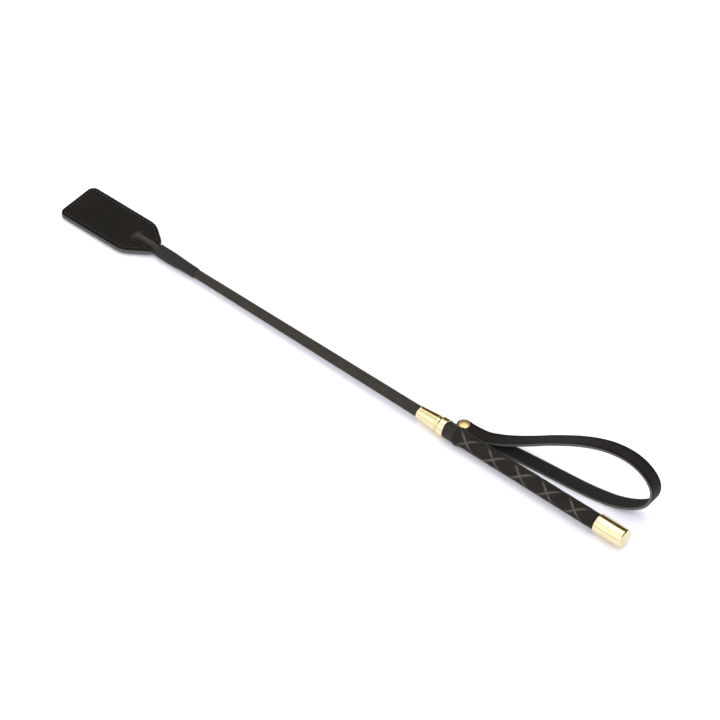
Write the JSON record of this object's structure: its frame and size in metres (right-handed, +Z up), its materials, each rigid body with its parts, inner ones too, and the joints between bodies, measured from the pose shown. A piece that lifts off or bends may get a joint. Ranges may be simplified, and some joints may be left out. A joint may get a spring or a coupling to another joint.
{
  "type": "riding crop",
  "caption": "Short riding crop: braided tapering shaft, stitched leather flap, brass ferrule and butt cap, cross-lined leather grip and riveted wrist strap.",
  "frame": {"origin": "centre of the base of the whole crop's bounding box, on the surface it lies on", "axes": "+X along the crop from the flap to the butt cap, +Y towards the wrist strap, +Z up from the surface"},
  "size_m": [0.6534, 0.0716, 0.064],
  "materials": {
    "flap_leather": "near-black brown smooth leather, grey cut edges",
    "grip_leather": "dark brown-grey matt leather with a lighter creased lattice",
    "strap_leather": "black-brown satin bridle leather, grey cut edges",
    "sleeve": "matt black shrink sleeve",
    "braid": "dark olive-brown braided nylon",
    "thread": "waxed black thread",
    "fibreglass": "translucent resin-bound glass fibre, seen only inside",
    "core_wood": "plain beech, seen only inside",
    "brass": "polished pale gold brass"
  },
  "bodies": {
    "crop": {"core_rod": "fibreglass", "shaft_braid": "braid", "neck_sleeve": "sleeve", "tail_whipping": "thread", "flap_top_root": "flap_leather", "flap_bottom_root": "flap_leather", "pocket_seam_top_thread": "thread", "pocket_seam_bottom_thread": "thread", "ferrule": "brass", "ferrule_ring": "brass", "grip_core": "core_wood", "grip_leather": "grip_leather", "butt_cap": "brass", "strap_collar": "strap_leather", "rivet_base": "brass", "rivet_cap": "brass"},
    "flap": {"flap_top_blade": "flap_leather", "flap_bottom_blade": "flap_leather", "edge_seam_top_thread": "thread", "edge_seam_bottom_thread": "thread"},
    "strap": {"wrist_strap": "strap_leather"}
  },
  "joints": [
    {"name": "flap_flex", "type": "hinge", "parent": "crop", "child": "flap", "pos_m": [-0.25572, -0.01153, 0.00437], "axis": [0, 1, 0], "range_deg": [-30, 30], "stiffness_Nm_per_rad": 0.12},
    {"name": "strap_swivel", "type": "hinge", "parent": "crop", "child": "strap", "pos_m": [0.13397, 0.00417, 0.004], "axis": [0, 0, 1], "range_deg": [0, 150]}
  ]
}
